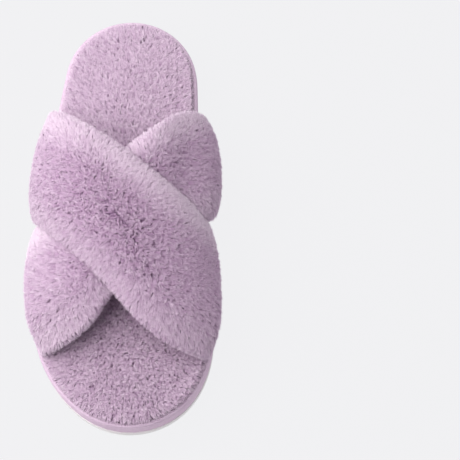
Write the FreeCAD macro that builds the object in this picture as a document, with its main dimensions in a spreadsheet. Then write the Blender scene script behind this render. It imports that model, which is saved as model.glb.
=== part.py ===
"""Cross-band faux-fur house slipper, right foot, EU 38-39, in millimetres.

The toe points to -Y, the wearer's inner (medial) side is +X, +Z is up, and the origin is the
middle of the bounding box at floor level.  From the floor up the slipper is an outsole, a bottom
filler inside the turned-in hem of the fabric wrap, a midsole, an insole board, a foam pad, and the
knit backing and pile of the footbed.  Two padded fur bands cross over the instep.  Each band is a
lining, a foam pad, a knit backing and a pile, and its two ends are sewn down by flat margins that
lie in recesses of the footbed foam.
"""
import FreeCAD, Part
import bisect
import math
import os
import Sketcher

DIMENSIONS = {
    # Sole outline: seven tangent arcs, from the back of the heel round the lateral side.
    "sole_length": 258.0,
    "heel_radius": 40.9,
    "lateral_side_radius": 990.0,
    "lateral_flank_radius": 75.7,
    "tip_radius": 48.3,
    "medial_flank_radius": 69.8,
    "medial_side_radius": 1660.0,
    "lateral_tip_sweep": 39.0,
    "medial_tip_sweep": 64.4,
    "heel_shift": 3.1,
    "tip_shift": 4.3,
    # Thicknesses of the flat layers, from the floor up.
    "outsole_thickness": 8.0,
    "hem_thickness": 1.2,
    "midsole_thickness": 11.0,
    "board_thickness": 1.5,
    "foam_thickness": 4.0,
    "backing_thickness": 0.8,
    "pile_height": 7.0,
    # Outsole edge and tread.
    "outsole_ledge": 0.2,
    "outsole_rounding": 2.0,
    "tread_depth": 1.6,
    "tread_width": 4.0,
    "tread_pitch": 11.0,
    "tread_rim": 9.0,
    "tread_end": 30.0,
    # Wrap, binding and the seam that joins them to the footbed.
    "wrap_thickness": 1.5,
    "hem_width": 12.0,
    "binding_radius": 1.8,
    "seam_gap": 2.2,
    "layer_gap": 0.1,
    "band_gap": 0.3,
    "join_tape_width": 9.0,
    "join_tape_thickness": 0.8,
    "pile_rounding": 5.0,
    # Stitches.
    "thread_radius": 0.35,
    "stitch_length": 2.6,
    "stitch_pitch": 4.0,
    # Arch that both bands follow, measured on its inner face above the binding.
    "arch_height": 38.0,
    "arch_slope": 0.217,
    "arch_power": 2.4,
    "upper_rise": 7.0,
    "under_drop": 1.6,
    # Layers of a band.
    "lining_thickness": 1.5,
    "padding_thickness": 3.0,
    "knit_thickness": 1.0,
    "band_pile_height": 7.0,
    "band_margin": 10.0,
    "margin_thickness": 1.2,
    # Where the edges of the bands meet the sole: heel-side and toe-side station of each end.
    "upper_lateral_heel": 64.0,
    "upper_lateral_toe": -1.0,
    "upper_medial_heel": -12.0,
    "upper_medial_toe": -86.0,
    "under_medial_heel": 65.0,
    "under_medial_toe": 4.0,
    "under_lateral_heel": -17.0,
    "under_lateral_toe": -86.0,
    # How far the middle of each edge bows towards the toe.
    "upper_heel_bow": 3.0,
    "upper_toe_bow": 9.0,
    "under_heel_bow": 3.0,
    "under_toe_bow": 0.5,
    # How far each end bulges outwards over the binding.
    "upper_lateral_bulge": -0.5,
    "upper_medial_bulge": -3.0,
    "under_medial_bulge": 8.0,
    "under_lateral_bulge": 2.5,
}

# Layers of the stack from the floor up.
STACK = (
    "outsole_thickness",
    "hem_thickness",
    "midsole_thickness",
    "board_thickness",
    "foam_thickness",
    "backing_thickness",
    "pile_height",
)

# Angles of the band sections round the arch, in degrees from the medial side, closer at the ends.
HALF_STATIONS = (0.0, 5.0, 10.0, 16.0, 24.0, 34.0, 46.0, 60.0, 75.0)
STATIONS = HALF_STATIONS + (90.0,) + tuple(180.0 - angle for angle in reversed(HALF_STATIONS))

# Points on each long side of a band section.
SECTION_POINTS = 7

# Extra room tried round the sewn ends of a band, in turn.
END_CLEARANCES = (0.0, 0.05, 0.1, 0.2)

# Spacing of the points from which the outline's width is read.
PROFILE_SPACING = 1.0

# How much of its height a band's pile loses towards its edges.
PILE_CROWN = 0.45

# Rows of stitches on a band: distance in from its edge as a share of its width, then the angle
# round the arch of the first stitch, the angle from one to the next, and the angle of one stitch.
STITCH_ROW_SHARE = 0.05
FIRST_STITCH_ANGLE = 18.0
STITCH_STEP_ANGLE = 4.5
STITCH_RUN_ANGLE = 2.7

LATERAL, MEDIAL = -1, 1

doc = FreeCAD.newDocument("house_slipper")
sheet = doc.addObject("Spreadsheet::Sheet", "Dims")
sub_parts = []
side_profiles = {}


# ---------------------------------------------------------------- driving dimensions

def fill_sheet():
    """Put every driving dimension in the sheet, under an alias of the same name."""
    for row, (alias, value) in enumerate(DIMENSIONS.items(), start=1):
        sheet.set(f"A{row}", alias)
        sheet.set(f"B{row}", str(value))
        sheet.setAlias(f"B{row}", alias)
    doc.recompute()


def size(alias):
    """Value of a driving dimension, read from the sheet."""
    return float(getattr(sheet, alias))


def level(layer):
    """Height of the top of a layer of the stack."""
    return sum(size(name) for name in STACK[:STACK.index(layer) + 1])


def level_expression(layer):
    """The same height as an expression on the sheet."""
    return " + ".join(f"Dims.{name}" for name in STACK[:STACK.index(layer) + 1])


def keep(feature, label):
    """Register a finished object as a sub-part, under the name of its file."""
    feature.Label = label
    sub_parts.append(feature)
    return feature


class Inset:
    """A distance in from the outline: driving dimensions, each times a factor, added up."""

    def __init__(self, **factors):
        self.factors = factors

    def plus(self, **factors):
        """The same distance with more dimensions added."""
        return Inset(**self.factors, **factors)

    def expression(self):
        """The distance as an expression on the sheet."""
        return " + ".join(f"{factor} * Dims.{alias}" for alias, factor in self.factors.items()) or "0"

    def value(self):
        """The distance as a number."""
        return sum(factor * size(alias) for alias, factor in self.factors.items())


# The outline itself, the inner side of the binding, the footbed fabric, and all that the wrap holds.
OUTLINE = Inset()
SEAM_INSET = Inset(binding_radius=2)
FABRIC_INSET = SEAM_INSET.plus(seam_gap=1)
FOAM_INSET = SEAM_INSET.plus(layer_gap=1)
CORE_INSET = Inset(wrap_thickness=1, layer_gap=1)


# ---------------------------------------------------------------- sole outline

def circle_centre(first, first_reach, second, second_reach, side):
    """Point at given distances from two points, on the lateral or the medial side of them."""
    span = second - first
    along = (first_reach ** 2 - second_reach ** 2 + span.Length ** 2) / (2 * span.Length)
    across = math.sqrt(first_reach ** 2 - along ** 2)
    forward = FreeCAD.Vector(span).normalize()
    sideways = FreeCAD.Vector(-forward.y, forward.x, 0) * side
    return first + forward * along + sideways * across


def outline_centres():
    """Centres of the outline's circles, keyed by the name of the arc."""
    heel = FreeCAD.Vector(size("heel_shift"), size("sole_length") / 2 - size("heel_radius"), 0)
    tip = FreeCAD.Vector(size("tip_shift"), size("tip_radius") - size("sole_length") / 2, 0)
    centres = {"heel": heel, "tip": tip}
    for name, side in (("lateral", LATERAL), ("medial", MEDIAL)):
        sweep = math.radians(size(f"{name}_tip_sweep"))
        reach = size(f"{name}_flank_radius") - size("tip_radius")
        offset = FreeCAD.Vector(-side * math.sin(sweep), math.cos(sweep), 0) * reach
        centres[f"{name}_flank"] = tip + offset
    side_radius = size("lateral_side_radius")
    centres["lateral_side"] = circle_centre(
        heel, side_radius - size("heel_radius"),
        centres["lateral_flank"], side_radius - size("lateral_flank_radius"), MEDIAL)
    side_radius = size("medial_side_radius")
    centres["medial_side"] = circle_centre(
        heel, side_radius + size("heel_radius"),
        centres["medial_flank"], side_radius + size("medial_flank_radius"), MEDIAL)
    return centres


# Arcs of the outline in order, each with the sheet's radius and +1 if convex, -1 if hollow.
ARCS = (
    ("heel_back", "heel", "heel_radius", 1),
    ("lateral_side", "lateral_side", "lateral_side_radius", 1),
    ("lateral_flank", "lateral_flank", "lateral_flank_radius", 1),
    ("tip", "tip", "tip_radius", 1),
    ("medial_flank", "medial_flank", "medial_flank_radius", 1),
    ("medial_side", "medial_side", "medial_side_radius", -1),
    ("heel_front", "heel", "heel_radius", 1),
)


def outline_joints(centres, inset):
    """Points where the arcs of the inset outline meet, starting at the back of the heel."""
    joints = [centres["heel"] + FreeCAD.Vector(0, size("heel_radius") - inset, 0)]
    for (_, near, near_radius, near_turn), (_, far, _, far_turn) in zip(ARCS, ARCS[1:]):
        toward = centres[near] - centres[far]
        nested = near_turn * far_turn > 0
        if not nested or size(near_radius) > size(f"{far}_radius"):
            toward = -toward
        toward.normalize()
        joints.append(centres[near] + toward * (size(near_radius) - near_turn * inset))
    joints.append(joints[0])
    return joints


def outline_edges(inset):
    """The outline's seven arcs, moved inwards by inset, as (centre, radius, start, end, turn)."""
    centres = outline_centres()
    joints = outline_joints(centres, inset)
    edges = []
    for (_, centre, radius, turn), start, end in zip(ARCS, joints, joints[1:]):
        edges.append((centres[centre], size(radius) - turn * inset, start, end, turn))
    return edges


def side_profile(side):
    """Points along one side of the outline, from the lowest station to the highest."""
    if side not in side_profiles:
        points = outline_wire(0.0).discretize(Distance=PROFILE_SPACING)
        tip = min(range(len(points)), key=lambda index: points[index].y)
        chosen = points[:tip + 1] if side == LATERAL else points[tip:]
        side_profiles[side] = sorted(chosen, key=lambda point: point.y)
    return side_profiles[side]


def outline_half_width(station, side):
    """Distance of the outline from the long axis at a station along Y, on one side."""
    points = side_profile(side)
    above = bisect.bisect_left([point.y for point in points], station)
    after = points[min(above, len(points) - 1)]
    before = points[max(above - 1, 0)]
    run = after.y - before.y
    share = (station - before.y) / run if run else 0.0
    return side * (before.x + (after.x - before.x) * share)


def outline_arc(centre, radius, start, end, turn):
    """One arc of the outline, which Part always draws anticlockwise."""
    circle = Part.Circle(centre, FreeCAD.Vector(0, 0, 1), radius)
    begin, finish = (start, end) if turn > 0 else (end, start)
    return Part.ArcOfCircle(circle, circle.parameter(begin), circle.parameter(finish))


def outline_wire(inset):
    """The inset outline as one closed wire, which starts at the back of the heel."""
    return Part.Wire([outline_arc(*edge).toShape() for edge in outline_edges(inset)])


def draw_outline(sketch, inset):
    """Add the inset outline to a sketch as seven tangent arcs, bound to the sheet."""
    first = sketch.GeometryCount
    sketch.addGeometry([outline_arc(*edge) for edge in outline_edges(inset.value())])

    def ends(index):
        """Sketcher numbers of an arc's first and last point, in the outline's order."""
        return (1, 2) if ARCS[index][3] > 0 else (2, 1)

    centre_point = 3
    tip = 3
    last = len(ARCS) - 1
    free = [Sketcher.Constraint("Coincident", first + last, 2, first, 1),
            Sketcher.Constraint("Coincident", first + last, centre_point, first, centre_point)]
    for index in range(last):
        joint = (first + index, ends(index)[1], first + index + 1, ends(index + 1)[0])
        free.append(Sketcher.Constraint("Tangent", *joint))
    bound = []
    for index, (_, _, radius, turn) in enumerate(ARCS[:last]):
        sign = "-" if turn > 0 else "+"
        value = size(radius) - turn * inset.value()
        bound.append((Sketcher.Constraint("Radius", first + index, value),
                      f"Dims.{radius} {sign} ({inset.expression()})"))
    centres = outline_centres()
    heel_shift = Sketcher.Constraint("DistanceX", -1, 1, first, 1, centres["heel"].x)
    bound.append((heel_shift, "Dims.heel_shift"))
    for index, centre, along_x, along_y in (
            (0, "heel", "Dims.heel_shift", "Dims.sole_length / 2 - Dims.heel_radius"),
            (tip, "tip", "Dims.tip_shift", "Dims.tip_radius - Dims.sole_length / 2")):
        for axis, value, expression in (
                ("DistanceX", centres[centre].x, along_x), ("DistanceY", centres[centre].y, along_y)):
            place = Sketcher.Constraint(axis, -1, 1, first + index, centre_point, value)
            bound.append((place, expression))
    for index, name, sign in ((tip - 1, "lateral", ""), (tip + 1, "medial", "-")):
        shift = centres[f"{name}_flank"].x - centres["tip"].x
        reach = f"(Dims.{name}_flank_radius - Dims.tip_radius) * sin(Dims.{name}_tip_sweep * 1deg)"
        place = Sketcher.Constraint(
            "DistanceX", first + tip, centre_point, first + index, centre_point, shift)
        bound.append((place, sign + reach))
    number = sketch.ConstraintCount + len(free)
    sketch.addConstraint(free + [constraint for constraint, _ in bound])
    for _, expression in bound:
        sketch.setExpression(f"Constraints[{number}]", expression)
        number += 1


# ---------------------------------------------------------------- helpers for bodies

def new_body(name):
    """A PartDesign body."""
    return doc.addObject("PartDesign::Body", name)


def origin_plane(body, role):
    """One of a body's own origin planes, by its role."""
    return next(item for item in body.Origin.OriginFeatures if item.Role == role)


def new_sketch(body, name, role="XY_Plane", height=None):
    """A sketch on an origin plane of its body, lifted by an expression on the sheet."""
    sketch = body.newObject("Sketcher::SketchObject", name)
    sketch.AttachmentSupport = (origin_plane(body, role), [""])
    sketch.MapMode = "FlatFace"
    if height:
        sketch.setExpression("AttachmentOffset.Base.z", height)
    return sketch


def pad(body, sketch, thickness_expression):
    """Pad a sketch upwards by an expression on the sheet."""
    feature = body.newObject("PartDesign::Pad", f"{sketch.Name}_pad")
    feature.Profile = sketch
    feature.setExpression("Length", thickness_expression)
    sketch.Visibility = False
    doc.recompute()
    return feature


def outline_layer(label, inset, bottom, thickness):
    """A flat layer: the outline moved inwards, padded up from a height."""
    body = new_body(label)
    sketch = new_sketch(body, f"{label}_outline", height=bottom)
    draw_outline(sketch, inset)
    pad(body, sketch, thickness)
    return body


def outline_ring(body, name, outer, inner, bottom, thickness):
    """Add a ring between two insets of the outline to a body."""
    sketch = new_sketch(body, name, height=bottom)
    draw_outline(sketch, outer)
    draw_outline(sketch, inner)
    return pad(body, sketch, thickness)


def edges_at_height(shape, height):
    """Names of a shape's edges that lie wholly at one height."""
    names = []
    for number, edge in enumerate(shape.Edges, start=1):
        box = edge.BoundBox
        if abs(box.ZMin - height) < 1e-4 and abs(box.ZMax - height) < 1e-4:
            names.append(f"Edge{number}")
    return names


def round_edges(body, height, radius_expression):
    """Fillet a body's edges that lie at one height."""
    base = body.Tip
    fillet = body.newObject("PartDesign::Fillet", f"{body.Name}_rounding")
    fillet.Base = (base, edges_at_height(base.Shape, height))
    fillet.setExpression("Radius", radius_expression)
    doc.recompute()
    return fillet


def draw_rectangle(sketch, left, right, low, high):
    """Add a closed rectangle to a sketch."""
    corners = [FreeCAD.Vector(x, y, 0) for x, y in
               ((left, low), (right, low), (right, high), (left, high))]
    for start, end in zip(corners, corners[1:] + corners[:1]):
        sketch.addGeometry(Part.LineSegment(start, end))


# ---------------------------------------------------------------- sole unit

def make_outsole():
    """Moulded outsole: a slab a little wider than the wrap, rounded below, with a slotted tread."""
    body = new_body("outsole")
    sketch = new_sketch(body, "outsole_outline")
    draw_outline(sketch, Inset(outsole_ledge=-1))
    pad(body, sketch, "Dims.outsole_thickness")
    round_edges(body, 0.0, "Dims.outsole_rounding")
    solid_volume = body.Shape.Volume
    tread = new_sketch(body, "tread_slots")
    rim = size("tread_rim")
    half_slot = size("tread_width") / 2
    reach = size("sole_length") / 2 - size("tread_end")
    slots = int(2 * reach // size("tread_pitch")) + 1
    first = -size("tread_pitch") * (slots - 1) / 2
    for number in range(slots):
        station = first + number * size("tread_pitch")
        lateral = -slot_reach(station, half_slot, LATERAL, rim)
        medial = slot_reach(station, half_slot, MEDIAL, rim)
        draw_rectangle(tread, lateral, medial, station - half_slot, station + half_slot)
    pocket = body.newObject("PartDesign::Pocket", "tread")
    pocket.Profile = tread
    pocket.Reversed = True
    pocket.setExpression("Length", "Dims.tread_depth")
    tread.Visibility = False
    doc.recompute()
    if body.Shape.Volume >= solid_volume:
        raise RuntimeError("the tread cuts nothing")
    return keep(body, "outsole")


def slot_reach(station, half_slot, side, rim):
    """How far a tread slot reaches sideways, so that a rim is left all round."""
    return min(outline_half_width(station + end, side) for end in (-half_slot, half_slot)) - rim


def make_wrap():
    """Fabric wrap round the midsole, with its hem turned in under the midsole."""
    body = new_body("fabric_wrap")
    outline_ring(body, "wrap_hem", OUTLINE, Inset(hem_width=1),
                 level_expression("outsole_thickness"), "Dims.hem_thickness")
    outline_ring(body, "wrap_wall", OUTLINE, Inset(wrap_thickness=1),
                 level_expression("hem_thickness"),
                 "Dims.midsole_thickness + Dims.board_thickness + Dims.foam_thickness"
                 " - Dims.binding_radius")
    return keep(body, "fabric_wrap")


def binding_level():
    """Height of the middle of the binding."""
    return level("foam_thickness")


def make_binding():
    """Rolled fabric binding along the top edge of the wrap."""
    body = new_body("edge_binding")
    spine = new_sketch(body, "binding_route", height=level_expression("foam_thickness"))
    draw_outline(spine, Inset(binding_radius=1))
    profile = new_sketch(body, "binding_section", role="YZ_Plane", height="Dims.heel_shift")
    middle = FreeCAD.Vector(size("sole_length") / 2 - size("binding_radius"), binding_level(), 0)
    profile.addGeometry(Part.Circle(middle, FreeCAD.Vector(0, 0, 1), size("binding_radius")))
    bound = (
        (Sketcher.Constraint("Radius", 0, size("binding_radius")), "Dims.binding_radius"),
        (Sketcher.Constraint("DistanceX", -1, 1, 0, 3, middle.x),
         "Dims.sole_length / 2 - Dims.binding_radius"),
        (Sketcher.Constraint("DistanceY", -1, 1, 0, 3, middle.y), level_expression("foam_thickness")),
    )
    for constraint, expression in bound:
        number = profile.addConstraint(constraint)
        profile.setExpression(f"Constraints[{number}]", expression)
    doc.recompute()
    pipe = body.newObject("PartDesign::AdditivePipe", "binding_pipe")
    pipe.Profile = profile
    pipe.Spine = (spine, [])
    doc.recompute()
    return keep(body, "edge_binding")


def make_join_tape():
    """Tape inside the wrap that backs the seam where its two ends meet, behind the heel."""
    ring = new_body("join_tape_ring")
    outline_ring(ring, "join_tape_section", CORE_INSET, CORE_INSET.plus(join_tape_thickness=1),
                 level_expression("hem_thickness"), "Dims.midsole_thickness")
    window = doc.addObject("Part::Box", "join_tape_window")
    window.setExpression("Length", "Dims.join_tape_width")
    window.setExpression("Width", "Dims.heel_radius")
    window.setExpression("Height", level_expression("foam_thickness"))
    window.setExpression("Placement.Base.x", "Dims.heel_shift - Dims.join_tape_width / 2")
    window.setExpression("Placement.Base.y", "Dims.sole_length / 2 - Dims.heel_radius")
    tape = doc.addObject("Part::Common", "wrap_join_tape")
    tape.Base = ring
    tape.Tool = window
    doc.recompute()
    return keep(tape, "wrap_join_tape")


def make_filler():
    """Thin filler sheet inside the turned-in hem."""
    body = outline_layer("bottom_filler", Inset(hem_width=1, layer_gap=1),
                         level_expression("outsole_thickness"), "Dims.hem_thickness")
    return keep(body, "bottom_filler")


def make_midsole(tape):
    """Foam midsole, relieved behind the heel for the join tape."""
    block = outline_layer("midsole_block", CORE_INSET,
                          level_expression("hem_thickness"), "Dims.midsole_thickness")
    midsole = doc.addObject("Part::Cut", "midsole")
    midsole.Base = block
    midsole.Tool = tape
    doc.recompute()
    return keep(midsole, "midsole")


def make_board():
    """Stiff insole board."""
    body = outline_layer("insole_board", CORE_INSET,
                         level_expression("midsole_thickness"), "Dims.board_thickness")
    return keep(body, "insole_board")


def make_footbed_foam(margins):
    """Foam pad of the footbed, inside the binding and recessed for the sewn-down band margins."""
    pad_body = outline_layer("foam_pad", FOAM_INSET,
                             level_expression("board_thickness"), "Dims.foam_thickness")
    foam = doc.addObject("Part::Cut", "footbed_foam")
    foam.Base = pad_body
    foam.Tool = margins
    doc.recompute()
    return keep(foam, "footbed_foam")


def make_footbed_backing():
    """Knit backing that carries the footbed's pile."""
    body = outline_layer("footbed_backing", FABRIC_INSET,
                         level_expression("foam_thickness"), "Dims.backing_thickness")
    return keep(body, "footbed_backing")


def make_footbed_pile():
    """Pile of the footbed, as the space its fibres fill."""
    body = outline_layer("footbed_uncut_pile", FABRIC_INSET,
                         level_expression("backing_thickness"), "Dims.pile_height")
    round_edges(body, level("pile_height"), "min(Dims.pile_rounding; 0.9 * Dims.pile_height)")
    return body


# ---------------------------------------------------------------- bands over the instep

def ease(value):
    """Smooth step from 0 to 1 as value goes from 0 to 1."""
    value = min(max(value, 0.0), 1.0)
    return value * value * (3 - 2 * value)


def arch_base():
    """Height at which the bands start, just above the binding."""
    return binding_level() + size("binding_radius") + size("layer_gap")


class Band:
    """One padded band: where its edges run, and how far each layer stands from the arch."""

    # Share of its thickness left at the sewn ends, and the angle over which it swells to full.
    ends_thinned = 0.36
    full_thickness_angle = 12.0
    # Angle over which the lift at the crossing comes in, and where the bulge has died away.
    rise_angle = 16.0
    bulge_end_angle = 52.0

    def __init__(self, name, starts_late, lift):
        """Args: name, 'upper' or 'under'; starts_late, angle where lift begins; lift in mm."""
        self.name = name
        self.starts_late = starts_late
        self.lift = lift
        self.layers = (
            ("lining", size("lining_thickness")),
            ("padding", size("padding_thickness")),
            ("knit", size("knit_thickness")),
            ("pile", size("band_pile_height")),
        )

    def edge_station(self, angle, edge):
        """Station along Y of the heel or toe edge of the band, at an angle round the arch."""
        lateral = size(f"{self.name}_lateral_{edge}")
        medial = size(f"{self.name}_medial_{edge}")
        share = (1 - math.cos(math.radians(angle))) / 2
        bow = 4 * share * (1 - share) * size(f"{self.name}_{edge}_bow")
        return medial + (lateral - medial) * share - bow

    def offset(self, angle):
        """Distance of the band's inner face from the plain arch."""
        from_end = min(angle, 180.0 - angle)
        side = "medial" if angle < 90.0 else "lateral"
        swell = ease(from_end / self.full_thickness_angle)
        fade = ease((from_end - self.rise_angle) / (self.bulge_end_angle - self.rise_angle))
        bulge = size(f"{self.name}_{side}_bulge") * swell * (1 - fade)
        lift = self.lift * ease((from_end - self.starts_late) / self.rise_angle)
        return bulge + lift

    def thickness_share(self, angle):
        """Share of its full thickness that a layer has at an angle: the ends are sewn flat."""
        from_end = min(angle, 180.0 - angle)
        return self.ends_thinned + (1 - self.ends_thinned) * ease(from_end / self.full_thickness_angle)

    def seam_reach(self, station, side):
        """Distance of the inner face from the long axis where the band is sewn down."""
        sewn = self.ends_thinned * sum(thickness for _, thickness in self.layers)
        gaps = len(self.layers) * size("band_gap")
        return outline_half_width(station, side) - SEAM_INSET.value() - sewn - gaps

    def arch_reach(self, angle, station):
        """Distance of the plain arch from its axis, at an angle and a station."""
        side = MEDIAL if angle < 90.0 else LATERAL
        width = self.seam_reach(station, side)
        if angle == 90.0:
            width = (self.seam_reach(station, MEDIAL) + self.seam_reach(station, LATERAL)) / 2
        height = size("arch_height") + size("arch_slope") * station
        power = size("arch_power")
        turn = math.radians(angle)
        across = (abs(math.cos(turn)) / width) ** power
        upright = (math.sin(turn) / height) ** power
        return (across + upright) ** (-1 / power)

    def point(self, angle, share, height):
        """Point at an angle, a share of the way from toe edge to heel edge, and a layer height."""
        toe = self.edge_station(angle, "toe")
        heel = self.edge_station(angle, "heel")
        station = toe + (heel - toe) * share
        reach = self.arch_reach(angle, station) + self.offset(angle) + height
        turn = math.radians(angle)
        return FreeCAD.Vector(reach * math.cos(turn), station, arch_base() + reach * math.sin(turn))

    def section(self, angle, layer, crown):
        """Closed wire of a layer at one angle, with its outer side falling off at both edges."""
        thin = self.thickness_share(angle)
        below, gaps, thickness = layer
        shares = [index / (SECTION_POINTS - 1) for index in range(SECTION_POINTS)]
        bottom_height = below * thin + gaps
        inner = [self.point(angle, share, bottom_height) for share in shares]
        outer = []
        for share in shares:
            fall = crown * abs(2 * share - 1) ** 3
            outer.append(self.point(angle, share, bottom_height + thickness * thin * (1 - fall)))
        bottom = Part.BSplineCurve()
        bottom.interpolate(inner)
        top = Part.BSplineCurve()
        top.interpolate(outer)
        edges = [bottom.toShape(), Part.makeLine(inner[-1], outer[-1]),
                 top.toShape(), Part.makeLine(outer[0], inner[0])]
        return Part.Wire(Part.__sortEdges__(edges))

    def layer_solid(self, below, gaps, thickness, crown=0.0):
        """Solid of a layer: a smooth loft through its sections from end to end.

        below is the soft thickness under the layer, which thins towards the sewn ends; gaps is
        the clearance under it, which stays the same.
        """
        sections = [self.section(angle, (below, gaps, thickness), crown) for angle in STATIONS]
        return Part.makeLoft(sections, True, False)

    def envelope(self, extra=0.0):
        """Solid of the whole band with its stitches and clearances, for what gives way to it."""
        below = 2 * (size("band_gap") + size("thread_radius")) + extra
        soft = sum(thickness for _, thickness in self.layers)
        gaps = len(self.layers) * size("band_gap")
        return self.layer_solid(0.0, -below, below + soft + gaps + extra)

    def ends_clear_of(self, solid):
        """Whether a solid leaves room for the band just above both of its sewn ends."""
        height = self.ends_thinned * sum(thickness for _, thickness in self.layers) / 2
        spots = [self.point(angle, share, height) for angle in (1.0, 179.0) for share in (0.2, 0.5, 0.8)]
        return not any(solid.isInside(spot, 0.01, True) for spot in spots)


def add_shape(name, shape):
    """A feature that holds a shape made in code."""
    feature = doc.addObject("Part::Feature", name)
    feature.Shape = shape
    feature.Placement = FreeCAD.Placement()
    return feature


def make_band(band):
    """The layers of a band, from its lining out, as features keyed by the layer's name."""
    features = {}
    below = 0.0
    for number, (layer, thickness) in enumerate(band.layers):
        crown = PILE_CROWN if layer == "pile" else 0.0
        shape = band.layer_solid(below, number * size("band_gap"), thickness, crown)
        features[layer] = add_shape(f"{band.name}_{layer}", shape)
        below += thickness
    return features


def press(soft, print_solid):
    """Flatten a soft layer with the solid of what lies on it."""
    cut = doc.addObject("Part::Cut", f"{soft.Name}_pressed")
    cut.Base = soft
    cut.Tool = print_solid
    doc.recompute()
    return cut


def press_ends(soft, band):
    """Flatten a soft layer where both ends of a band are sewn down through it.

    A cut can pass one end by, so it is made with the whole band, then with its ends alone, and
    then with a little more room, until both ends are clear.
    """
    slab = Part.makeBox(400, 600, level("pile_height") + 2, FreeCAD.Vector(-200, -300, 0))
    for extra in END_CLEARANCES:
        whole = band.envelope(extra)
        for shape in (whole, whole.common(slab)):
            print_solid = add_shape(f"{band.name}_band_ends", shape)
            pressed = press(soft, print_solid)
            if band.ends_clear_of(pressed.Shape):
                return pressed
            doc.removeObject(pressed.Name)
            doc.removeObject(print_solid.Name)
    raise ValueError(f"the footbed is not clear of the ends of the {band.name} band")


def make_margin(band, side_name):
    """Flat sewing margin of one end of a band, turned in under the footbed fabric."""
    label = f"{band.name}_band_{side_name}_margin"
    ring = new_body(f"{label}_ring")
    outline_ring(ring, f"{label}_strip", FOAM_INSET, FOAM_INSET.plus(band_margin=1),
                 f"{level_expression('foam_thickness')} - Dims.margin_thickness",
                 "Dims.margin_thickness")
    window = doc.addObject("Part::Box", f"{label}_window")
    prefix = f"Dims.{band.name}_{side_name}"
    window.setExpression("Length", "Dims.sole_length")
    window.setExpression("Width", f"{prefix}_heel - {prefix}_toe")
    window.setExpression("Height", level_expression("pile_height"))
    window.setExpression("Placement.Base.y", f"{prefix}_toe")
    if side_name == "lateral":
        window.setExpression("Placement.Base.x", "-Dims.sole_length")
    margin = doc.addObject("Part::Common", label)
    margin.Base = ring
    margin.Tool = window
    doc.recompute()
    return keep(margin, label)


def stitch(start, end):
    """One stitch: a short straight thread with round ends."""
    radius = size("thread_radius")
    run = end - start
    thread = Part.makeCylinder(radius, run.Length, start, run)
    for ball in (start, end):
        thread = thread.fuse(Part.makeSphere(radius, ball))
    return thread


def make_band_stitches(band):
    """Rows of stitches along both edges of a band, on the face of its lining."""
    depth = -size("thread_radius") - size("band_gap")
    count = int((180.0 - 2 * FIRST_STITCH_ANGLE) // STITCH_STEP_ANGLE)
    stitches = []
    for share in (STITCH_ROW_SHARE, 1 - STITCH_ROW_SHARE):
        for number in range(count):
            angle = FIRST_STITCH_ANGLE + number * STITCH_STEP_ANGLE
            start = band.point(angle, share, depth)
            end = band.point(angle + STITCH_RUN_ANGLE, share, depth)
            stitches.append(stitch(start, end))
    feature = add_shape(f"{band.name}_band_stitches", Part.makeCompound(stitches))
    return keep(feature, f"{band.name}_band_stitches")


def make_seam_stitches(bands):
    """Stitches in the groove between binding and footbed, left out where a band is sewn in."""
    height = binding_level() + size("thread_radius") + size("layer_gap") + size("backing_thickness")
    wire = outline_wire(SEAM_INSET.value() + size("seam_gap") / 2)
    count = int(wire.Length // size("stitch_pitch"))
    points = wire.discretize(Number=count * 4 + 1)
    share = max(1, round(4 * size("stitch_length") / size("stitch_pitch")))
    lift = FreeCAD.Vector(0, 0, height)
    stitches = []
    for index in range(0, count * 4, 4):
        start = points[index]
        end = points[(index + share) % (count * 4)]
        if not any(covers(band, point) for band in bands for point in (start, end)):
            stitches.append(stitch(start + lift, end + lift))
    return keep(add_shape("seam_stitches", Part.makeCompound(stitches)), "seam_stitches")


def covers(band, point):
    """Whether a band's sewn end covers a point of the seam."""
    side = "medial" if point.x > 0 else "lateral"
    reach = size("stitch_pitch")
    low = size(f"{band.name}_{side}_toe") - reach
    return low < point.y < size(f"{band.name}_{side}_heel") + reach


# ---------------------------------------------------------------- assembly

def check_and_write():
    """Stop on any failed object or bad shape, then write one STEP file for each sub-part."""
    doc.recompute()
    for item in doc.Objects:
        if "Invalid" in item.State or "Error" in item.State:
            raise RuntimeError(f"{item.Name} failed: {item.State}")
    for part in sub_parts:
        if part.Shape.isNull() or not part.Shape.isValid():
            raise RuntimeError(f"{part.Label} has no valid shape")
    os.makedirs("parts", exist_ok=True)
    for part in sub_parts:
        part.Shape.exportStep(f"parts/{part.Label}.step")


fill_sheet()
upper = Band("upper", 0.0, size("upper_rise"))
under = Band("under", 4.0, -size("under_drop"))

make_outsole()
make_wrap()
make_binding()
make_filler()
make_midsole(make_join_tape())
make_board()

margins = doc.addObject("Part::MultiFuse", "band_margins")
margins.Shapes = [make_margin(band, side) for band in (upper, under) for side in ("lateral", "medial")]
make_footbed_foam(margins)
make_footbed_backing()
make_seam_stitches((upper, under))

upper_print = add_shape("upper_band_print", upper.envelope())
for layer, feature in make_band(upper).items():
    keep(feature, f"upper_band_{layer}")
for layer, feature in make_band(under).items():
    keep(press(feature, upper_print), f"under_band_{layer}")
make_band_stitches(upper)
make_band_stitches(under)

footbed_pile = make_footbed_pile()
for band in (upper, under):
    footbed_pile = press_ends(footbed_pile, band)
keep(footbed_pile, "footbed_pile")

check_and_write()
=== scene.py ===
"""Faux-fur cross-band house slipper for the right foot: everything that shows, built on its frame.

The sole is an outsole, a fabric wrap and a rolled binding.  The footbed and both instep bands are
padded bodies that carry a pile of single fibres, which are combed, curled and drawn into locks.
Lengths in this file are millimetres, and each mesh is scaled to metres when it is made.
"""
import logging
import math
import sys
from dataclasses import dataclass, field
from enum import Enum
from typing import Callable

import bmesh
import bpy
import numpy as np
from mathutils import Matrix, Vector
from mathutils.bvhtree import BVHTree
from mathutils.kdtree import KDTree


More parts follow.
